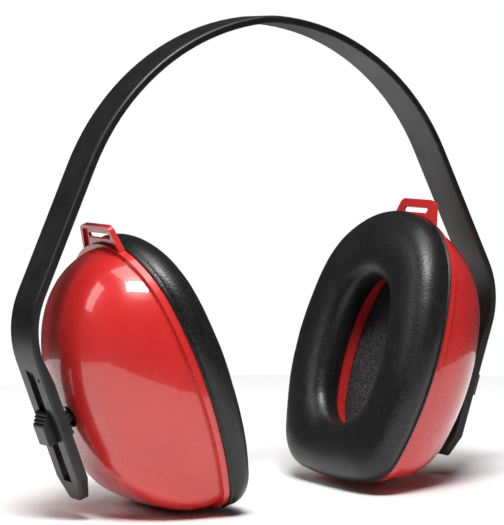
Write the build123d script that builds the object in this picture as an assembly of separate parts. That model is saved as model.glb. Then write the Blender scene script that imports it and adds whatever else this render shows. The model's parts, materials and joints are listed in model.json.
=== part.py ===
"""Earmuff hearing protector: one sprung headband, two cups on sliding ball pivots.

Frame: X runs across the head (left cup at -X), Y front to back, +Z up.
Origin: centre of the bottom of the object, at the foot of its lower cup.

Each side is built in its own cup frame and then placed. In the cup frame
x runs across the cup, y up the cup from the pivot axis, and z outward, away
from the head. z = 0 is the head-side face of the cup's flange.
"""
import os
from math import cos, radians, sin

from build123d import *

# ---- headband --------------------------------------------------------------
BAND_WIDTH = 18.6
BAND_THICKNESS = 3.0
BAND_OUTER_ROUNDING = 1.2
BAND_INNER_ROUNDING = 0.5
CROWN_RADIUS = 42.6          # tighter bend in the middle of the arch
CROWN_ANGLE = 5.4
ARCH_RADIUS = 95.2
UPPER_ARM_LEAN = 25.3        # outward lean from the vertical
UPPER_ARM_LENGTH = 52.7
ELBOW_RADIUS = 33.5
LOWER_ARM_LEAN = 19.5        # inward lean, the same as the cup's
LOWER_ARM_LENGTH = 57.5
LOWER_ARM_THICKNESS = 4.2
THICKENING_LENGTH = 9.0      # over which the band grows to that thickness

# ---- slot in each lower arm, where the cup slides up and down ----------------
PIVOT_FROM_ELBOW = 26.5      # along the lower arm, at the stored position
SLOT_WIDTH = 4.4
SLOT_ABOVE_PIVOT = 20.0
SLOT_BELOW_PIVOT = 18.0
SLIDER_RAISED = {"right": 2.5, "left": 0.0}  # how far up its slot each slider rests
RECESS_WIDTH = 6.0
RECESS_DEPTH = 1.6
RECESS_RAMP = 3.8
ENTRY_WIDTH = 6.2            # wide mouth at the slot's foot for fitting the slider
ENTRY_LENGTH = 5.0
PIT_ACROSS = 5.6             # small moulded pit beside the slot's top
PIT_RADIUS = 0.8
PIT_DEPTH = 0.9
TIP_TAPER_LENGTH = 9.0
TIP_HALF_WIDTH = 3.8
TIP_ROUNDING = 1.6

# ---- cup shell ---------------------------------------------------------------
ARM_STANDOFF = 45.8          # flange face to the middle of the band's thickness
RIM_TOP = 56.6               # above the pivot axis
RIM_ARCS = ((39.3, 71.6), (103.0, 41.1), (16.9, 59.9))
FLANGE_THICKNESS = 2.75
FLANGE_STEP = 1.8
SHELL_WALL = 2.0
DOME_HEIGHT = 37.8
DOME_FULLNESS = 2.2          # exponent of the dome's superellipse profile
DOME_SECTIONS = 11
DOME_LAST_ANGLE = 87         # of 90; the small cap above the last section is level

# ---- strap tab at the top of the shell ------------------------------------------
TAB_HEIGHT = 7.5             # its top edge above the flange's top
TAB_TOP_HALF_WIDTH = 11.0
TAB_BASE_HALF_WIDTH = 14.8
TAB_PLATE = 1.3
TAB_RIM_DEPTH = 2.4
TAB_RIM_WIDTH = 1.3
TAB_CORNER = 3.0
STRAP_SLOT_LENGTH = 17.0
STRAP_SLOT_HEIGHT = 2.3
STRAP_SLOT_ABOVE_FLANGE = 3.0

# ---- opening for the ear, shared by the seat plate and the cushion --------------
EAR_TOP = 35.8
EAR_ARCS = ((18.0, 70.0), (80.0, 35.0))
SEAT_PLATE_THICKNESS = 1.8
SEAT_LIP_DEPTH = 5.0
SEAT_LIP_WALL = 1.6

# ---- cushion -------------------------------------------------------------------
CUSHION_THICKNESS = 13.5
CUSHION_OVERHANG = 0.9       # past the flange's edge
CUSHION_CROWN = 6.0
SKIN = 0.8
FRAME_THICKNESS = 1.4
SOFT_GAP = 0.1

# ---- sound-absorbing foam inside the cup ------------------------------------------
LINER_INSET = 7.8
LINER_FRONT = 5.3
LINER_THICKNESS = 9.5

# ---- ball pivot, sunk into the top of the dome -----------------------------------
BALL_CENTRE = 32.2
BALL_RADIUS = 4.5
NECK_RADIUS = 2.0
STEM_RADIUS = 3.0
STEM_LENGTH = 1.2
SNAP_RIDGE = 0.3
SNAP_RIDGE_HEIGHT = 0.5
RUNNING_CLEARANCE = 0.05
LINER_SPHERE_RADIUS = 7.0
SOCKET_ABOVE = 3.4
SOCKET_BELOW = 4.0
BOSS_RADIUS = 8.7
BOSS_BELOW = 4.6

# ---- slider ----------------------------------------------------------------------
SLIDE_GAP = 0.15
BLOCK_WIDTH = 9.4
BLOCK_LENGTH = 11.0
BLOCK_BASE = 40.2
GRIP_GROOVES = 4
GRIP_GROOVE_WIDTH = 1.1
GRIP_GROOVE_DEPTH = 0.8
CAP_WIDTH = 8.4
CAP_BOTTOM = -6.0
CAP_SHOULDER = 2.0
CAP_TOP = 6.8
CAP_HEIGHT = 4.1
CAP_RAMP_FOOT = 0.9
CAP_RIDGES = 3
CAP_RIDGE_WIDTH = 0.7
CAP_STEM_WIDTH = 4.1
CAP_STEM_LENGTH = 8.0
CAP_STEM_SEAT = 0.8          # how deep the stem sits in the block

THROUGH = 100.0              # longer than anything that it cuts
CUT_MARGIN = 1.0             # how far a cut starts outside what it cuts

ARM_OUTER_FACE = ARM_STANDOFF + BAND_THICKNESS / 2
ARM_INNER_FACE = ARM_OUTER_FACE - LOWER_ARM_THICKNESS


def egg_outline(top, arcs):
    """Closed outline, the same left and right, of tangent arcs from its top point.

    The last arc closes it: it is as large as brings it level to the middle.
    """
    edges = []
    point, heading = Vector(0, top), Vector(1, 0)
    turned = 0
    for radius, angle in arcs:
        edge = JernArc(start=point, tangent=heading, radius=radius, arc_size=-angle)
        edges.append(edge)
        point, heading = edge @ 1, edge % 1
        turned += angle
    closing_angle = 180 - turned
    closing_radius = point.X / sin(radians(closing_angle))
    edges.append(JernArc(start=point, tangent=heading, radius=closing_radius, arc_size=-closing_angle))
    half = Curve() + edges
    whole = Curve() + [half, mirror(half, about=Plane.YZ)]
    return make_face(whole.edges())


def grown(face, amount):
    """The face with its outline moved outward, or inward where amount is negative."""
    return offset(face, amount=amount, kind=Kind.ARC)


def slab(face, low, high):
    """The face extruded from z = low to z = high."""
    return Pos(0, 0, low) * extrude(face, amount=high - low, dir=(0, 0, 1))


def disc(radius, low, high):
    """Cylinder about the pivot axis from z = low to z = high."""
    return Pos(0, 0, low) * Cylinder(radius, high - low, align=(Align.CENTER, Align.CENTER, Align.MIN))


def bar(half_width, bottom, top, low, high):
    """Box across the pivot axis: x to both sides, y from bottom to top, z from low to high."""
    return Pos(0, bottom, low) * Box(2 * half_width, top - bottom, high - low,
                                     align=(Align.CENTER, Align.MIN, Align.MIN))


RIM = egg_outline(RIM_TOP, RIM_ARCS)
EAR = egg_outline(EAR_TOP, EAR_ARCS)
RIM_BOTTOM = RIM.bounding_box().min.Y


# ---- placing the two sides ---------------------------------------------------------
def lowest_reach():
    """How far the lower cup reaches below its frame's origin, at its dome or its flange."""
    lean = radians(LOWER_ARM_LEAN)
    power = DOME_FULLNESS / (DOME_FULLNESS - 1)
    base = -(RIM_BOTTOM + FLANGE_STEP) * cos(lean)
    dome_reach = (base ** power + (DOME_HEIGHT * sin(lean)) ** power) ** (1 / power)
    flange_reach = -RIM_BOTTOM * cos(lean) + FLANGE_THICKNESS * sin(lean)
    return max(dome_reach, flange_reach)


def arm_end_points():
    """Places along the right half of the band's centreline, for a crown at z = 0."""
    x, z, lean = 0.0, 0.0, 90.0
    for radius, angle in ((CROWN_RADIUS, CROWN_ANGLE), (ARCH_RADIUS, 90 - UPPER_ARM_LEAN - CROWN_ANGLE)):
        x += radius * (cos(radians(lean - angle)) - cos(radians(lean)))
        z -= radius * (sin(radians(lean)) - sin(radians(lean - angle)))
        lean -= angle
    x += UPPER_ARM_LENGTH * sin(radians(lean))
    z -= UPPER_ARM_LENGTH * cos(radians(lean))
    x += ELBOW_RADIUS * (cos(radians(LOWER_ARM_LEAN)) - cos(radians(lean)))
    z -= ELBOW_RADIUS * (sin(radians(lean)) + sin(radians(LOWER_ARM_LEAN)))
    return x, z


OUTWARD = Vector(cos(radians(LOWER_ARM_LEAN)), 0, -sin(radians(LOWER_ARM_LEAN)))
UPWARD = Vector(sin(radians(LOWER_ARM_LEAN)), 0, cos(radians(LOWER_ARM_LEAN)))
ELBOW_END_X, ELBOW_END_DROP = arm_end_points()
FRAME_ORIGIN_BELOW_CROWN = (
    Vector(ELBOW_END_X, 0, ELBOW_END_DROP) - UPWARD * PIVOT_FROM_ELBOW - OUTWARD * ARM_STANDOFF
)
CROWN_HEIGHT = lowest_reach() - FRAME_ORIGIN_BELOW_CROWN.Z
CUP_ORIGIN = FRAME_ORIGIN_BELOW_CROWN + Vector(0, 0, CROWN_HEIGHT)
RIGHT_FRAME = Plane(origin=CUP_ORIGIN, x_dir=(0, 1, 0), z_dir=OUTWARD).location
SIDES = {
    "right": RIGHT_FRAME * Pos(0, SLIDER_RAISED["right"], 0),
    "left": Rot(0, 0, 180) * RIGHT_FRAME * Pos(0, SLIDER_RAISED["left"], 0),
}


# ---- headband -------------------------------------------------------------------------
def band_section():
    """Cross-section of the arch, with its outer long edges rounded more."""
    section = Rectangle(BAND_WIDTH, BAND_THICKNESS)
    corners = section.vertices().sort_by(Axis.Y)
    section = fillet(corners[2:], BAND_OUTER_ROUNDING)
    inner_corners = section.vertices().sort_by(Axis.Y)[:2]
    return fillet(inner_corners, BAND_INNER_ROUNDING)


def band_half():
    """Right half of the arch, from the crown to the end of the elbow."""
    crown = JernArc(start=(0, CROWN_HEIGHT), tangent=(1, 0), radius=CROWN_RADIUS, arc_size=-CROWN_ANGLE)
    arch = JernArc(start=crown @ 1, tangent=crown % 1, radius=ARCH_RADIUS,
                   arc_size=-(90 - UPPER_ARM_LEAN - CROWN_ANGLE))
    upper_arm = Line(arch @ 1, arch @ 1 + (arch % 1) * UPPER_ARM_LENGTH)
    elbow = JernArc(start=upper_arm @ 1, tangent=upper_arm % 1, radius=ELBOW_RADIUS,
                    arc_size=-(UPPER_ARM_LEAN + LOWER_ARM_LEAN))
    path = Wire([edge for line in (crown, arch, upper_arm, elbow) for edge in line.edges()])
    path = Plane.XZ.location * path
    start = Plane(origin=(0, 0, CROWN_HEIGHT), x_dir=(0, 1, 0), z_dir=(1, 0, 0))
    return sweep(start.location * band_section(), path=path)


def lower_arm():
    """Thicker straight end of the band in the cup frame, with its slot and tapered tip."""
    top = PIVOT_FROM_ELBOW
    bottom = PIVOT_FROM_ELBOW - LOWER_ARM_LENGTH
    half = BAND_WIDTH / 2
    taper_start = bottom + TIP_TAPER_LENGTH
    plan = Polygon(
        (-half, top), (-half, taper_start), (-TIP_HALF_WIDTH, bottom),
        (TIP_HALF_WIDTH, bottom), (half, taper_start), (half, top), align=None,
    )
    tip_corners = plan.vertices().sort_by(Axis.Y)[:2]
    plan = fillet(tip_corners, TIP_ROUNDING)
    arm = slab(plan, ARM_INNER_FACE, ARM_OUTER_FACE)
    outer_face = arm.faces().sort_by(Axis.Z)[-1]
    free_edges = outer_face.edges().sort_by(Axis.Y)[:-1]
    arm = fillet(free_edges, BAND_OUTER_ROUNDING)
    thickening = Plane.YZ * Polygon(
        (top - THICKENING_LENGTH, ARM_INNER_FACE), (top, ARM_OUTER_FACE - BAND_THICKNESS - SLIDE_GAP),
        (top, 0), (top - THICKENING_LENGTH, 0), align=None,
    )
    return arm - extrude(thickening, amount=BAND_WIDTH, both=True) - slider_slot()


def slider_slot():
    """The through slot, the wider recess along it, the entry mouth at its foot and the pit."""
    slot = bar(SLOT_WIDTH / 2, -SLOT_BELOW_PIVOT, SLOT_ABOVE_PIVOT, 0, THROUGH)
    slot = fillet(slot.edges().filter_by(Axis.Z).group_by(Axis.Y)[-1], SLOT_WIDTH / 2 - SLIDE_GAP)
    floor = ARM_OUTER_FACE - RECESS_DEPTH
    profile = Plane.YZ * Polygon(
        (SLOT_ABOVE_PIVOT, floor), (SLOT_ABOVE_PIVOT + RECESS_RAMP, ARM_OUTER_FACE),
        (SLOT_ABOVE_PIVOT + RECESS_RAMP, THROUGH), (-SLOT_BELOW_PIVOT, THROUGH),
        (-SLOT_BELOW_PIVOT, floor), align=None,
    )
    recess = extrude(profile, amount=RECESS_WIDTH / 2, both=True)
    entry = bar(ENTRY_WIDTH / 2, -SLOT_BELOW_PIVOT - ENTRY_LENGTH, -SLOT_BELOW_PIVOT, 0, THROUGH)
    pit = Pos(PIT_ACROSS, SLOT_ABOVE_PIVOT) * disc(PIT_RADIUS, ARM_OUTER_FACE - PIT_DEPTH, THROUGH)
    return slot + recess + entry + pit


def headband():
    half = band_half() + RIGHT_FRAME * lower_arm()
    return half + Rot(0, 0, 180) * half


# ---- cup shell --------------------------------------------------------------------------
def dome(base, height):
    """Closed dome over the base face, full at the shoulder and level at the top."""
    sections = []
    for step in range(DOME_SECTIONS):
        angle = radians(DOME_LAST_ANGLE * step / (DOME_SECTIONS - 1))
        share = cos(angle) ** (2 / DOME_FULLNESS)
        level = height * sin(angle) ** (2 / DOME_FULLNESS)
        sections.append(Pos(0, 0, level) * scale(base, by=(share, share, 1)))
    return loft(sections)


def tab_outline(inset):
    """Plan of the strap tab, from inside the flange to its top edge."""
    top = RIM_TOP + TAB_HEIGHT - inset
    foot = RIM_TOP - TAB_HEIGHT
    plan = Polygon(
        (-TAB_BASE_HALF_WIDTH + inset, RIM_TOP - TAB_CORNER), (-TAB_TOP_HALF_WIDTH + inset, top),
        (TAB_TOP_HALF_WIDTH - inset, top), (TAB_BASE_HALF_WIDTH - inset, RIM_TOP - TAB_CORNER),
        (TAB_BASE_HALF_WIDTH - inset, foot), (-TAB_BASE_HALF_WIDTH + inset, foot), align=None,
    )
    top_corners = plan.vertices().sort_by(Axis.Y)[-2:]
    return fillet(top_corners, TAB_CORNER - inset)


def strap_tab():
    """Slotted plate in the plane of the flange, stiffened by a rim on its outer side."""
    plate = slab(tab_outline(0), 0, TAB_PLATE)
    rim = slab(tab_outline(0), 0, TAB_RIM_DEPTH) - slab(tab_outline(TAB_RIM_WIDTH), -CUT_MARGIN, THROUGH)
    slot = Pos(0, RIM_TOP + STRAP_SLOT_ABOVE_FLANGE) * SlotOverall(STRAP_SLOT_LENGTH, STRAP_SLOT_HEIGHT)
    return plate + rim - slab(slot, -CUT_MARGIN, THROUGH)


def cup_shell():
    """Dome, flange, strap tab and pivot boss, moulded as one."""
    outside = dome(grown(RIM, -FLANGE_STEP), DOME_HEIGHT)
    hollow = dome(grown(RIM, -FLANGE_STEP - SHELL_WALL), DOME_HEIGHT - SHELL_WALL)
    flange = slab(RIM, 0, FLANGE_THICKNESS)
    boss = disc(BOSS_RADIUS, BALL_CENTRE - BOSS_BELOW, DOME_HEIGHT - SHELL_WALL / 2)
    seat = Pos(0, 0, BALL_CENTRE) * Sphere(LINER_SPHERE_RADIUS + RUNNING_CLEARANCE)
    return outside + flange + strap_tab() - hollow + boss - seat


# ---- cushion and inside of the cup ----------------------------------------------------------
def seat_plate():
    """Plate that closes the cup's mouth, with a deep lip round the ear opening."""
    plate = slab(grown(RIM, -FLANGE_STEP - SHELL_WALL - RUNNING_CLEARANCE), 0, SEAT_PLATE_THICKNESS)
    lip = slab(grown(EAR, SEAT_LIP_WALL), 0, SEAT_LIP_DEPTH)
    return plate + lip - slab(EAR, -CUT_MARGIN, THROUGH)


def crowned_ring(outer, inner, front, back, rounding):
    """Ring between two outlines with its head-side edges rounded over."""
    ring = slab(outer, front, back) - slab(inner, front - CUT_MARGIN, back + CUT_MARGIN)
    return fillet(ring.faces().sort_by(Axis.Z)[0].edges(), rounding)


def cushion_cover():
    """Skin of the cushion: it wraps the front and both sides, and is open at the back."""
    outer = grown(RIM, CUSHION_OVERHANG)
    skin = crowned_ring(outer, EAR, -CUSHION_THICKNESS, -SOFT_GAP, CUSHION_CROWN)
    filling = crowned_ring(grown(outer, -SKIN), grown(EAR, SKIN), SKIN - CUSHION_THICKNESS,
                           CUT_MARGIN, CUSHION_CROWN - SKIN)
    return skin - filling


def cushion_foam():
    """Foam ring under the skin."""
    inset = SKIN + SOFT_GAP
    return crowned_ring(grown(RIM, CUSHION_OVERHANG - inset), grown(EAR, inset),
                        inset - CUSHION_THICKNESS, -SOFT_GAP - FRAME_THICKNESS, CUSHION_CROWN - inset)


def cushion_frame():
    """Stiff ring at the back of the cushion, which clips it to the cup."""
    inset = SKIN + SOFT_GAP
    ring = grown(RIM, CUSHION_OVERHANG - inset) - grown(EAR, inset)
    return slab(ring, -SOFT_GAP - FRAME_THICKNESS, -SOFT_GAP)


def acoustic_liner():
    """Flat pad of foam inside the cup, behind the seat plate's lip."""
    return slab(grown(RIM, -LINER_INSET), LINER_FRONT, LINER_FRONT + LINER_THICKNESS)


# ---- pivot and slider -----------------------------------------------------------------------
def stem_with_ridge(clearance):
    """The stud's stem, or with a clearance the bore that it turns in."""
    foot = BLOCK_BASE + SLIDE_GAP - clearance
    ridge_centre = BLOCK_BASE + SLIDE_GAP + STEM_LENGTH / 2
    ridge_half = SNAP_RIDGE_HEIGHT / 2 + clearance
    stem = disc(STEM_RADIUS + clearance, foot, BLOCK_BASE + SLIDE_GAP + STEM_LENGTH + clearance)
    ridge_radius = STEM_RADIUS + SNAP_RIDGE + clearance
    ridge = disc(ridge_radius, ridge_centre - ridge_half, ridge_centre + ridge_half)
    return stem + ridge


def ball_stud():
    """Ball that the cup tilts on, with a stem that turns in the slider block."""
    ball = Pos(0, 0, BALL_CENTRE) * Sphere(BALL_RADIUS)
    neck = disc(NECK_RADIUS, BALL_CENTRE, BLOCK_BASE + 2 * SLIDE_GAP)
    return ball + neck + stem_with_ridge(0)


def ball_socket():
    """Spherical liner between the ball and the boss of the shell."""
    liner = Pos(0, 0, BALL_CENTRE) * Sphere(LINER_SPHERE_RADIUS)
    hollow = Pos(0, 0, BALL_CENTRE) * Sphere(BALL_RADIUS + RUNNING_CLEARANCE)
    zone = disc(THROUGH, BALL_CENTRE - SOCKET_BELOW, BALL_CENTRE + SOCKET_ABOVE)
    return (liner & zone) - hollow


def slider_block():
    """Ribbed block between the arm and the cup, which holds the stud."""
    top = ARM_INNER_FACE - SLIDE_GAP
    half_length = BLOCK_LENGTH / 2
    block = bar(BLOCK_WIDTH / 2, -half_length, half_length, BLOCK_BASE, top)
    block = chamfer(block.edges().filter_by(Axis.Z), GRIP_GROOVE_DEPTH)
    pitch = BLOCK_LENGTH / (GRIP_GROOVES + 1)
    for number in range(GRIP_GROOVES):
        place = (number + 1) * pitch - half_length
        for side in (-1, 1):
            block -= Pos(side * BLOCK_WIDTH / 2, place, BLOCK_BASE) * Box(
                2 * GRIP_GROOVE_DEPTH, GRIP_GROOVE_WIDTH, THROUGH)
    stem_pocket = bar(CAP_STEM_WIDTH / 2, -CAP_STEM_LENGTH / 2, CAP_STEM_LENGTH / 2,
                      top - CAP_STEM_SEAT, THROUGH)
    entry = disc(STEM_RADIUS + RUNNING_CLEARANCE, BLOCK_BASE - CUT_MARGIN, BLOCK_BASE + CUT_MARGIN)
    return block - stem_pocket - stem_with_ridge(RUNNING_CLEARANCE) - entry


def slider_cap():
    """Thumb piece on the outside of the arm, with a stem through the slot to the block."""
    foot = ARM_OUTER_FACE + SLIDE_GAP
    profile = Plane.YZ * Polygon(
        (CAP_BOTTOM, foot), (CAP_BOTTOM, foot + CAP_HEIGHT), (CAP_SHOULDER, foot + CAP_HEIGHT),
        (CAP_TOP, foot + CAP_RAMP_FOOT), (CAP_TOP, foot), align=None,
    )
    cap = extrude(profile, amount=CAP_WIDTH / 2, both=True)
    cap = chamfer(cap.faces().sort_by(Axis.Z)[-1].edges(), CAP_RIDGE_WIDTH / 2)
    ramp_length = CAP_TOP - CAP_SHOULDER
    ramp_drop = CAP_HEIGHT - CAP_RAMP_FOOT
    for number in range(CAP_RIDGES):
        share = (number + 1) / (CAP_RIDGES + 1)
        place = CAP_SHOULDER + share * ramp_length
        level = foot + CAP_HEIGHT - share * ramp_drop
        cap -= Pos(0, place, level) * Box(THROUGH, CAP_RIDGE_WIDTH, CAP_RIDGE_WIDTH)
    block_top = ARM_INNER_FACE - SLIDE_GAP
    stem = bar(CAP_STEM_WIDTH / 2, -CAP_STEM_LENGTH / 2, CAP_STEM_LENGTH / 2,
               block_top - CAP_STEM_SEAT, foot + CAP_RIDGE_WIDTH)
    return cap + stem


# ---- writing the parts ------------------------------------------------------------------------
SIDE_PIECES = {
    "cup_shell": cup_shell,
    "seat_plate": seat_plate,
    "cushion_cover": cushion_cover,
    "cushion_foam": cushion_foam,
    "cushion_frame": cushion_frame,
    "acoustic_liner": acoustic_liner,
    "ball_socket": ball_socket,
    "ball_stud": ball_stud,
    "slider_block": slider_block,
    "slider_cap": slider_cap,
}


def main():
    os.makedirs("parts", exist_ok=True)
    export_step(headband(), "parts/headband.step")
    for name, make_piece in SIDE_PIECES.items():
        piece = make_piece()
        for side, frame in SIDES.items():
            export_step(frame * piece, f"parts/{side}_{name}.step")


main()
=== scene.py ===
"""Looks of the earmuff hearing protector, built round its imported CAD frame."""
import json
from math import cos, pi, radians, sin

import bpy
from mathutils import Matrix, Vector, noise


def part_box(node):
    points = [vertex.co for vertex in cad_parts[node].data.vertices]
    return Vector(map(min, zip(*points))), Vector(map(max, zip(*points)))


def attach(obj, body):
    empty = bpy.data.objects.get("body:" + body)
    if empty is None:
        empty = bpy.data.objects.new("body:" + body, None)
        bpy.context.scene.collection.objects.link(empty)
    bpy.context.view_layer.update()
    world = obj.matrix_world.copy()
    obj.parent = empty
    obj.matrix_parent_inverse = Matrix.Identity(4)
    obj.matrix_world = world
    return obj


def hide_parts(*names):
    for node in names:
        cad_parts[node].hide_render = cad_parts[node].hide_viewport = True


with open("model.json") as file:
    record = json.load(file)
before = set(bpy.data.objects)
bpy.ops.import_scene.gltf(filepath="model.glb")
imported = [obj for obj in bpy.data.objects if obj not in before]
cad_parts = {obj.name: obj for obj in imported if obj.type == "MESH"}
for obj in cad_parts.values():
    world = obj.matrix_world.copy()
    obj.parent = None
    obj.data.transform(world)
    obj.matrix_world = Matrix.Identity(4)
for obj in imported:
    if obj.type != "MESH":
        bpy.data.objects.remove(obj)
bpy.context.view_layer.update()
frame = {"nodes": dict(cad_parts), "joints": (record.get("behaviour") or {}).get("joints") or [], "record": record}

SIDES = ("left", "right")
MM = 0.001

# ---- camera, in metres and degrees: azimuth 0 looks along +Y -------------------------
CAMERA_AZIMUTH = -31.685
CAMERA_ELEVATION = 4.955
CAMERA_ROLL = -0.973
CAMERA_DISTANCE = 1.0219
CAMERA_TARGET_BELOW_BAND = 0.0975
CAMERA_TARGET_ACROSS = (-0.0041, 0.0026)
CAMERA_LENS = 176.4
SENSOR_LONG_SIDE = 36.0

# ---- studio --------------------------------------------------------------------------
FLOOR_RADIUS = 0.37
FLOOR_GAP = 0.0004
FLOOR_ALBEDO = 0.92
ROOM_BRIGHTNESS = 0.05
CENTRE_HEIGHT = 0.08

# ---- cup, in millimetres in the cup's own frame --------------------------------------
# x runs across the cup, y up it from the pivot axis and z outward from the flange's face.
BALL_CENTRE = 32.2
RIM_TOP = 56.6
RIM_ARCS = ((39.3, 71.6), (103.0, 41.1), (16.9, 59.9))
OPENING_TOP = 31.0           # the cushion's own opening is shorter than the ear hole behind it
OPENING_ARCS = ((18.0, 70.0), (66.0, 35.0))

# ---- cushion -------------------------------------------------------------------------
CUSHION_DEPTH = 14.0
CUSHION_STATIONS = 260
PROFILE_FRONT_STEPS = 44
WELD_OVERHANG = 0.9          # flat welded edge of the skin, against the flange
WELD_THICKNESS = 0.7
WELD_ROUNDING = 0.15
WELD_GROOVE = 0.9
BACK_LAP = 2.0               # how far the skin laps in behind the rim
OUTER_BULGE = 1.7            # past the rim, at the fullest part of the side
INNER_BULGE = 1.9            # into the ear opening
FULLEST_DEPTH = 4.6
OUTER_SQUARENESS = 2.5
INNER_SQUARENESS = 2.6
CROWN_DROP = 1.0             # the soft crown sits a little lower than its back
CROWN_SHORTENING = 0.045     # and is shorter from top to bottom, by this share
WEDGE = 0.035                # the pad grows deeper towards its top, by this much per mm
BACK_GAP = 0.1
SKIN_SWELLS = (0.30, 0.055, 0.10, 0.16)  # height and scale of the broad swells, then of the fine
SIDE_SHIFT = {"left": Vector((0, 0, 50)), "right": Vector((0, 0, 0))}  # so the two cushions differ

# ---- foam inside the cup -------------------------------------------------------------
LINER_INSET = 7.8
LINER_FRONT = 5.3
LINER_THICKNESS = 9.5
LINER_ROUNDING = 1.6
LINER_CLEAR = 0.3            # the pad stays this far inside the plain one
LINER_STATIONS = 200
LINER_FACE_STEPS = 26
LINER_EDGE_STEPS = 6
SMALLEST_SHARE = 0.012       # of the ring in the middle of each face
FOAM_SWELLS = (0.21, 0.22, 0.085, 0.8)


# ---- small helpers for node trees ----------------------------------------------------
def new_material(name):
    """An empty material with its tree and its shader."""
    material = bpy.data.materials.new(name)
    material.use_nodes = True
    tree = material.node_tree
    return material, tree, tree.nodes["Principled BSDF"]


def add_node(tree, kind, inputs=None, **settings):
    """A node with its settings and the given inputs, each a value or another node's socket."""
    made = tree.nodes.new(kind)
    for name, value in settings.items():
        setattr(made, name, value)
    for name, value in (inputs or {}).items():
        if isinstance(value, bpy.types.NodeSocket):
            tree.links.new(value, made.inputs[name])
        else:
            made.inputs[name].default_value = value
    return made


def noise_texture(tree, scale, detail=2.0, roughness=0.5):
    """Noise with features about 1/scale metres across, in the piece's own frame."""
    where = tree.nodes.new("ShaderNodeTexCoord").outputs["Object"]
    inputs = {"Vector": where, "Scale": scale, "Detail": detail, "Roughness": roughness}
    return add_node(tree, "ShaderNodeTexNoise", inputs).outputs["Fac"]


def cell_texture(tree, scale):
    """Distance to the middle of cells about 1/scale metres across, in the piece's own frame."""
    where = tree.nodes.new("ShaderNodeTexCoord").outputs["Object"]
    return add_node(tree, "ShaderNodeTexVoronoi", {"Vector": where, "Scale": scale}).outputs["Distance"]


def spread(tree, value, low, high, to_low=0.0, to_high=1.0):
    """The value, stretched from low..high to to_low..to_high."""
    inputs = {"Value": value, "From Min": low, "From Max": high, "To Min": to_low, "To Max": to_high}
    return add_node(tree, "ShaderNodeMapRange", inputs).outputs["Result"]


def mix_colour(tree, share, first, second):
    """Colour from first to second as share goes from 0 to 1."""
    made = add_node(tree, "ShaderNodeMix", data_type="RGBA")
    sockets = (made.inputs["Factor"], made.inputs[6], made.inputs[7])
    for socket, value in zip(sockets, (share, first, second)):
        if isinstance(value, bpy.types.NodeSocket):
            tree.links.new(value, socket)
        else:
            socket.default_value = value if isinstance(value, float) else (*value, 1.0)
    return made.outputs[2]


def arithmetic(tree, operation, first, second):
    """One sum, product or other operation on two values."""
    made = add_node(tree, "ShaderNodeMath", operation=operation)
    for socket, value in zip(made.inputs, (first, second)):
        if isinstance(value, bpy.types.NodeSocket):
            tree.links.new(value, socket)
        else:
            socket.default_value = value
    return made.outputs["Value"]


def bump(tree, shader, height, depth, strength=1.0):
    """Relief of the given depth in metres."""
    made = add_node(tree, "ShaderNodeBump", {"Height": height, "Distance": depth, "Strength": strength})
    tree.links.new(made.outputs["Normal"], shader.inputs["Normal"])


FLAT_ALIKE = 0.995           # how alike the rounded and true normals are on a flat face
EDGE_ALIKE = 0.80            # and on a sharp edge


def edge_mask(tree, radius):
    """0 on flat faces and 1 along edges, for the polish that handling gives them and for the painted highlight
    along them.
    """
    rounded = add_node(tree, "ShaderNodeBevel", {"Radius": radius}, samples=6).outputs["Normal"]
    flat = tree.nodes.new("ShaderNodeNewGeometry").outputs["Normal"]
    alike = add_node(tree, "ShaderNodeVectorMath", {0: rounded, 1: flat}, operation="DOT_PRODUCT")
    return spread(tree, alike.outputs["Value"], FLAT_ALIKE, EDGE_ALIKE)


# ---- materials -----------------------------------------------------------------------
BAND_DARK = (0.004, 0.004, 0.0043)
BAND_PALE = (0.009, 0.009, 0.0095)
SLIDER_DARK = (0.004, 0.004, 0.0043)
SLIDER_PALE = (0.008, 0.008, 0.0084)
RED_DEEP = (0.56, 0.020, 0.020)
RED_BRIGHT = (0.64, 0.030, 0.028)
VINYL_DARK = (0.003, 0.003, 0.0032)
VINYL_PALE = (0.007, 0.007, 0.0072)
VINYL_CREST = (0.040, 0.041, 0.042)
BEARING_DARK = (0.022, 0.022, 0.024)
BEARING_PALE = (0.05, 0.05, 0.052)


def moulded_black(name, dark, pale, roughness, grain):
    """Black moulded plastic: fine spark-eroded grain, faint mottling, polished edges, and edges lightened in
    colour partly as wear and partly as a painted highlight.
    """
    material, tree, shader = new_material(name)
    mottle = noise_texture(tree, 120.0, detail=5.0)
    body = mix_colour(tree, spread(tree, mottle, 0.35, 0.65), dark, pale)
    edges = edge_mask(tree, 0.0006)
    # wear and painted highlight: the edges are lightened towards a pale grey in the base colour
    worn_and_highlit_edge = tuple(min(1.0, 2.6 * value) for value in pale)
    edge_wear_and_highlight_share = arithmetic(tree, "MULTIPLY", edges, 0.5)
    tree.links.new(mix_colour(tree, edge_wear_and_highlight_share, body, worn_and_highlit_edge), shader.inputs["Base Color"])
    rubbed = noise_texture(tree, 45.0, detail=6.0, roughness=0.65)
    matt = spread(tree, rubbed, 0.3, 0.7, roughness - 0.05, roughness + 0.06)
    polish = arithmetic(tree, "MULTIPLY", edges, -0.12)
    tree.links.new(arithmetic(tree, "ADD", matt, polish), shader.inputs["Roughness"])
    bump(tree, shader, noise_texture(tree, grain, detail=3.0, roughness=0.6), 0.00005, 0.55)
    shader.inputs["Specular IOR Level"].default_value = 0.5
    return material


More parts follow.
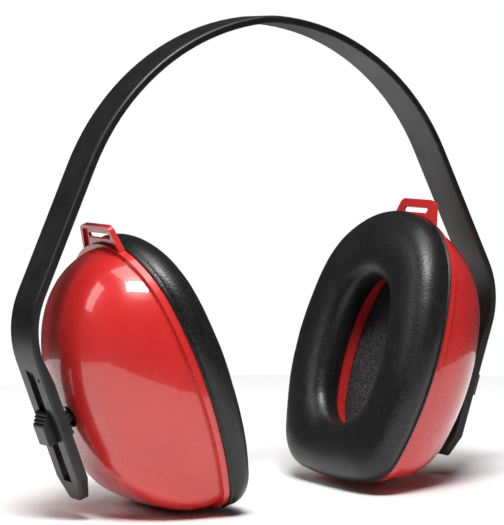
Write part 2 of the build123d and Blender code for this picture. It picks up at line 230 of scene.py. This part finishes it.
def red_gloss(name, deep, bright):
    """Red moulded shell under a clear gloss, with faint ripple, a painted highlight along its edges and handling
    marks.
    """
    material, tree, shader = new_material(name)
    clouds = noise_texture(tree, 30.0, detail=4.0)
    body = mix_colour(tree, spread(tree, clouds, 0.3, 0.7), deep, bright)
    edges = edge_mask(tree, 0.0005)
    # painted highlight: the edges are lightened in the base colour
    painted_edge_highlight = tuple(min(1.0, 1.35 * value + 0.02) for value in bright)
    share = arithmetic(tree, "MULTIPLY", edges, 0.45)
    tree.links.new(mix_colour(tree, share, body, painted_edge_highlight), shader.inputs["Base Color"])
    handled = noise_texture(tree, 60.0, detail=8.0, roughness=0.7)
    tree.links.new(spread(tree, handled, 0.35, 0.75, 0.24, 0.36), shader.inputs["Roughness"])
    ripple = noise_texture(tree, 160.0, detail=1.0)
    bump(tree, shader, ripple, 0.00002, 0.35)
    shader.inputs["Coat Weight"].default_value = 0.9
    shader.inputs["Coat Roughness"].default_value = 0.045
    shader.inputs["Coat IOR"].default_value = 1.52
    shader.inputs["Specular IOR Level"].default_value = 0.4
    return material


def vinyl(name):
    """Soft black vinyl: pebbled leather grain, satin sheen, patches rubbed smoother."""
    material, tree, shader = new_material(name)
    rub = noise_texture(tree, 38.0, detail=4.0)
    body = mix_colour(tree, spread(tree, rub, 0.3, 0.7), VINYL_DARK, VINYL_PALE)
    pebbles = cell_texture(tree, 1250.0)
    speck = spread(tree, noise_texture(tree, 1900.0, detail=2.0), 0.45, 0.8)
    crest = mix_colour(tree, arithmetic(tree, "MULTIPLY", speck, 0.8), body, VINYL_CREST)
    tree.links.new(crest, shader.inputs["Base Color"])
    tree.links.new(spread(tree, rub, 0.3, 0.7, 0.33, 0.42), shader.inputs["Roughness"])
    fine = noise_texture(tree, 2600.0, detail=2.0)
    coarse_share = arithmetic(tree, "MULTIPLY", pebbles, 0.7)
    fine_share = arithmetic(tree, "MULTIPLY", fine, 0.5)
    relief = arithmetic(tree, "ADD", coarse_share, fine_share)
    bump(tree, shader, relief, 0.00012, 0.7)
    shader.inputs["Sheen Weight"].default_value = 0.01
    shader.inputs["Sheen Roughness"].default_value = 0.4
    shader.inputs["Specular IOR Level"].default_value = 0.42
    return material


def open_foam(name, dark, pale):
    """Open-cell foam: pale cell walls over dark pores, rough all over."""
    material, tree, shader = new_material(name)
    pores = spread(tree, cell_texture(tree, 1500.0), 0.15, 0.75)
    grit = spread(tree, noise_texture(tree, 2200.0, detail=4.0, roughness=0.7), 0.40, 0.64)
    share = arithmetic(tree, "MULTIPLY", pores, grit)
    patch = spread(tree, noise_texture(tree, 90.0, detail=3.0), 0.3, 0.7, 0.75, 1.1)
    lit = arithmetic(tree, "MULTIPLY", share, patch)
    tree.links.new(mix_colour(tree, lit, dark, pale), shader.inputs["Base Color"])
    shader.inputs["Roughness"].default_value = 0.95
    shader.inputs["Specular IOR Level"].default_value = 0.2
    bump(tree, shader, arithmetic(tree, "ADD", pores, grit), 0.0004, 0.9)
    return material


def bearing_plastic(name):
    """Smooth dark bearing plastic with a faint ripple and a film of wear."""
    material, tree, shader = new_material(name)
    film = spread(tree, noise_texture(tree, 220.0, detail=5.0), 0.35, 0.65)
    body = mix_colour(tree, film, BEARING_DARK, BEARING_PALE)
    tree.links.new(body, shader.inputs["Base Color"])
    tree.links.new(spread(tree, film, 0.0, 1.0, 0.26, 0.40), shader.inputs["Roughness"])
    bump(tree, shader, noise_texture(tree, 1500.0, detail=1.0), 0.00002, 0.4)
    return material


def make_materials():
    """One finish for each of the record's material slots."""
    return {
        "black_plastic": moulded_black("band_black", BAND_DARK, BAND_PALE, 0.40, 1700.0),
        "slider_plastic": moulded_black("slider_black", SLIDER_DARK, SLIDER_PALE, 0.36, 2100.0),
        "red_shell": red_gloss("shell_red", RED_DEEP, RED_BRIGHT),
        "cushion_vinyl": vinyl("cushion_vinyl"),
        "soft_foam": open_foam("cushion_foam", (0.03, 0.03, 0.032), (0.22, 0.22, 0.23)),
        "liner_foam": open_foam("liner_foam", (0.012, 0.012, 0.013), (0.20, 0.20, 0.21)),
        "pivot_plastic": bearing_plastic("pivot_black"),
    }


# ---- outlines of the cup -------------------------------------------------------------
class Egg:
    """Closed outline of tangent arcs, the same left and right.

    Its points are found by angle: the way the outline faces there, in degrees
    clockwise from straight up.
    """

    def __init__(self, top, arcs):
        centre = Vector((0.0, top - arcs[0][0]))
        turned = 0.0
        self.arcs = []
        for number, (radius, angle) in enumerate(arcs):
            if number:
                centre = centre + (self.arcs[-1][2] - radius) * facing(turned)
            turned += angle
            self.arcs.append((turned, centre, radius))
        end = centre + radius * facing(turned)
        last_radius = end.x / sin(radians(180.0 - turned))
        centre = end - last_radius * facing(turned)
        self.arcs.append((180.0, centre, last_radius))

    def radius(self, angle):
        angle = min(angle % 360.0, 360.0 - angle % 360.0)
        return next(radius for end, _, radius in self.arcs if angle <= end)

    def point(self, angle, grown=0.0):
        angle = angle % 360.0
        half_angle = min(angle, 360.0 - angle)
        centre, radius = next((c, r) for end, c, r in self.arcs if half_angle <= end)
        where = centre + (radius + grown) * facing(half_angle)
        return where if angle <= 180.0 else Vector((-where.x, where.y))


def facing(angle):
    return Vector((sin(radians(angle)), cos(radians(angle))))


FINE_STEPS = 3600            # round an outline, to measure its length


def even_stations(outlines, count):
    """Angles round the outlines at even steps of their mean length."""
    step = 360.0 / FINE_STEPS
    travelled = [0.0]
    for number in range(FINE_STEPS):
        middle = (number + 0.5) * step
        travelled.append(travelled[-1] + sum(outline.radius(middle) for outline in outlines))
    stations, place = [], 0
    for number in range(count):
        goal = travelled[-1] * number / count
        while travelled[place + 1] <= goal:
            place += 1
        share = (goal - travelled[place]) / (travelled[place + 1] - travelled[place])
        stations.append((place + share) * step)
    return stations


RIM = Egg(RIM_TOP, RIM_ARCS)
OPENING = Egg(OPENING_TOP, OPENING_ARCS)


def cup_frame(side):
    """Matrix from a cup's own frame in millimetres to the whole object's frame in metres."""
    joints = {joint["name"]: joint for joint in frame["joints"]}
    outward = Vector(joints[f"{side}_cup_turn"]["axis"])
    upward = Vector(joints[f"{side}_cup_toe"]["axis"])
    ball = Vector(joints[f"{side}_cup_turn"]["pos_m"])
    across = upward.cross(outward)
    origin = ball - outward * BALL_CENTRE * MM
    turn = Matrix((across, upward, outward)).transposed().to_4x4()
    return Matrix.Translation(origin) @ turn @ Matrix.Scale(MM, 4)


# ---- making meshes -------------------------------------------------------------------
def mesh_object(name, points, faces, place):
    """Smooth mesh object of points in a cup's frame, placed by that cup's matrix."""
    mesh = bpy.data.meshes.new(name)
    mesh.from_pydata([place @ Vector(point) for point in points], [], faces)
    mesh.update()
    mesh.shade_smooth()
    made = bpy.data.objects.new(name, mesh)
    bpy.context.scene.collection.objects.link(made)
    return made


def loop_faces(loops, size):
    """Quads between neighbouring closed loops of points, the last loop joined to the first."""
    faces = []
    for loop in range(loops):
        following = (loop + 1) % loops
        for place in range(size):
            beside = (place + 1) % size
            faces.append((loop * size + place, loop * size + beside,
                          following * size + beside, following * size + place))
    return faces


def superellipse(angle, squareness):
    """Unit superellipse point for an angle in radians."""
    def power(value):
        return abs(value) ** (2.0 / squareness) * (1 if value >= 0 else -1)
    return power(cos(angle)), power(sin(angle))


def cushion_profile():
    """Section through the cushion as (share across from rim to ear, extra mm, depth).

    Share 0 is on the rim's outline and 1 on the ear opening's; the extra is
    measured outward from whichever of the two is nearer.
    """
    weld_front = BACK_GAP + WELD_THICKNESS
    groove = BACK_GAP + WELD_GROOVE
    profile = [
        (0.0, -BACK_LAP, BACK_GAP),
        (0.0, WELD_OVERHANG - 0.2, BACK_GAP),
        (0.0, WELD_OVERHANG, BACK_GAP + WELD_ROUNDING),
        (0.0, WELD_OVERHANG, weld_front - WELD_ROUNDING),
        (0.0, WELD_OVERHANG - 0.25, weld_front),
        (0.0, 0.1, groove),
        (0.0, OUTER_BULGE - 0.75, groove + 0.7),
    ]
    front = CUSHION_DEPTH - FULLEST_DEPTH
    for step in range(PROFILE_FRONT_STEPS + 1):
        angle = pi * step / PROFILE_FRONT_STEPS
        squareness = OUTER_SQUARENESS if angle < pi / 2 else INNER_SQUARENESS
        along, up = superellipse(angle, squareness)
        share = (1.0 - along) / 2.0
        extra = OUTER_BULGE * max(0.0, along) + INNER_BULGE * min(0.0, along)
        profile.append((share, extra, FULLEST_DEPTH + front * up))
    profile += [
        (1.0, -INNER_BULGE * 0.72, FULLEST_DEPTH * 0.62),
        (1.0, -INNER_BULGE * 0.3, FULLEST_DEPTH * 0.3),
        (1.0, 0.1, BACK_GAP + 0.5),
        (1.0, 0.4, BACK_GAP),
    ]
    return profile


def unevenness(point, broad_height, broad_scale, fine_height, fine_scale):
    """Smooth relief in mm at a point: broad swells and smaller ones on them."""
    return broad_height * noise.noise(point * broad_scale) + fine_height * noise.noise(point * fine_scale)


def cushion(side, place):
    """The cushion's vinyl skin: a crowned ring, tucked in at its weld and its ear opening."""
    profile = cushion_profile()
    stations = even_stations((RIM, OPENING), CUSHION_STATIONS)
    points = []
    for angle in stations:
        outer, inner = RIM.point(angle), OPENING.point(angle)
        out = facing(angle)
        for share, extra, depth in profile:
            flat = outer.lerp(inner, share) + out * extra
            crown = max(0.0, depth - BACK_GAP - WELD_GROOVE) / CUSHION_DEPTH
            wedge = crown * WEDGE * flat.y
            height = flat.y * (1.0 - CROWN_SHORTENING * crown) - CROWN_DROP * crown
            where = Vector((flat.x, height, -depth - wedge))
            softness = min(1.0, 2.0 * crown)
            away = Vector((out.x * (1 - 2 * share), out.y * (1 - 2 * share), -4.0 * share * (1 - share)))
            shift = unevenness(where + SIDE_SHIFT[side], *SKIN_SWELLS) * softness
            points.append(where + away * shift)
    made = mesh_object(f"{side}_cushion_skin", points, loop_faces(len(stations), len(profile)), place)
    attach(made, f"{side}_cup")
    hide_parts(f"{side}_cushion_cover", f"{side}_cushion_foam")
    return made


def liner_rings():
    """Rings of the liner pad, from the middle of its front round to the middle of its back.

    Each is a share of the way out, an inset from the edge and a depth.
    """
    back = LINER_FRONT + LINER_THICKNESS
    rings = [(step / LINER_FACE_STEPS, LINER_ROUNDING, LINER_FRONT) for step in range(LINER_FACE_STEPS)]
    quarter = [pi / 2 * step / LINER_EDGE_STEPS for step in range(LINER_EDGE_STEPS + 1)]
    for angle in quarter:
        depth = LINER_FRONT + LINER_ROUNDING * (1 - cos(angle))
        rings.append((1.0, LINER_ROUNDING * (1 - sin(angle)), depth))
    for angle in quarter:
        depth = back - LINER_ROUNDING * (1 - sin(angle))
        rings.append((1.0, LINER_ROUNDING * (1 - cos(angle)), depth))
    for step in range(LINER_FACE_STEPS - 1, -1, -1):
        rings.append((step / LINER_FACE_STEPS, LINER_ROUNDING, back))
    return rings


def liner_pad(side, place):
    """The foam pad behind the ear opening: soft rounded edges and an uneven cut face."""
    stations = even_stations((RIM,), LINER_STATIONS)
    points = []
    rings = liner_rings()
    for share, inset, depth in rings:
        for angle in stations:
            flat = RIM.point(angle, grown=-LINER_INSET - LINER_CLEAR - inset) * max(share, SMALLEST_SHARE)
            where = Vector((flat.x, flat.y, depth))
            points.append((flat.x, flat.y, depth + LINER_CLEAR + unevenness(where, *FOAM_SWELLS)))
    size = len(stations)
    faces = loop_faces(len(rings), size)[:-size]
    faces = [tuple(reversed(face)) for face in faces]
    faces.append(tuple(range(size)))
    faces.append(tuple(reversed(range((len(rings) - 1) * size, len(rings) * size))))
    made = mesh_object(f"{side}_liner_pad", points, faces, place)
    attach(made, f"{side}_cup")
    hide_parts(f"{side}_acoustic_liner")
    return made


# ---- studio --------------------------------------------------------------------------
def direction(azimuth, elevation):
    """Unit vector from the object towards that azimuth (0 is -Y, as the camera's) and elevation."""
    a, e = radians(azimuth), radians(elevation)
    return Vector((sin(a) * cos(e), -cos(a) * cos(e), sin(e)))


def make_camera():
    back = direction(CAMERA_AZIMUTH, CAMERA_ELEVATION)
    camera = bpy.data.objects.new("camera", bpy.data.cameras.new("camera"))
    camera.data.lens = CAMERA_LENS
    camera.data.sensor_width = SENSOR_LONG_SIDE
    camera.data.clip_end = 30.0
    aim = (-back).to_track_quat("-Z", "Y").to_matrix().to_4x4()
    roll = Matrix.Rotation(radians(CAMERA_ROLL), 4, "Z")
    band_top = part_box("headband")[1][2]
    target = Vector((*CAMERA_TARGET_ACROSS, band_top - CAMERA_TARGET_BELOW_BAND))
    camera.matrix_world = Matrix.Translation(target + back * CAMERA_DISTANCE) @ aim @ roll
    bpy.context.scene.collection.objects.link(camera)
    bpy.context.scene.camera = camera


def area_light(name, azimuth, elevation, distance, size, power, colour=(1.0, 1.0, 1.0)):
    """Soft box that faces the middle of the object."""
    lamp = bpy.data.lights.new(name, "AREA")
    lamp.shape = "RECTANGLE"
    lamp.size, lamp.size_y = size
    lamp.energy = power
    lamp.color = colour
    made = bpy.data.objects.new(name, lamp)
    away = direction(azimuth, elevation)
    made.location = Vector((0, 0, CENTRE_HEIGHT)) + away * distance
    made.rotation_mode = "QUATERNION"
    made.rotation_quaternion = away.to_track_quat("Z", "Y")
    bpy.context.scene.collection.objects.link(made)


def make_floor():
    """Round pale table top."""
    bpy.ops.mesh.primitive_circle_add(vertices=128, radius=FLOOR_RADIUS, fill_type="NGON")
    floor = bpy.context.object
    floor.name = "floor"
    floor.location.z = -FLOOR_GAP
    material, _, shader = new_material("floor_white")
    shader.inputs["Base Color"].default_value = (FLOOR_ALBEDO, FLOOR_ALBEDO, FLOOR_ALBEDO, 1.0)
    shader.inputs["Roughness"].default_value = 0.8
    floor.data.materials.append(material)


def make_world():
    """White behind the object, and a dim room all round for everything else."""
    world = bpy.data.worlds.new("studio")
    world.use_nodes = True
    bpy.context.scene.world = world
    tree = world.node_tree
    seen = tree.nodes.new("ShaderNodeLightPath").outputs["Is Camera Ray"]
    strength = arithmetic(tree, "MAXIMUM", seen, ROOM_BRIGHTNESS)
    tree.links.new(strength, tree.nodes["Background"].inputs["Strength"])
    tree.nodes["Background"].inputs["Color"].default_value = (1.0, 1.0, 1.0, 1.0)


def make_studio():
    bpy.context.scene.view_settings.view_transform = "Standard"
    make_camera()
    make_floor()
    make_world()
    area_light("key", -30.0, 64.0, 0.95, (0.40, 0.22), 10.0)
    area_light("overhead", 0.0, 88.0, 1.5, (1.1, 1.1), 13.0)
    area_light("side", -112.0, 36.0, 1.2, (0.50, 0.60), 3.5)


# ---- putting it together -------------------------------------------------------------
def finish_cad_nodes(materials):
    """Every CAD node takes the material of its slot in the record."""
    for part in frame["record"]["subparts"]:
        mesh = frame["nodes"][part["node"]].data
        mesh.materials.clear()
        mesh.materials.append(materials[part["material_slot"]])


def main():
    materials = make_materials()
    finish_cad_nodes(materials)
    for side in SIDES:
        place = cup_frame(side)
        cushion(side, place).data.materials.append(materials["cushion_vinyl"])
        liner_pad(side, place).data.materials.append(materials["liner_foam"])
    make_studio()


main()
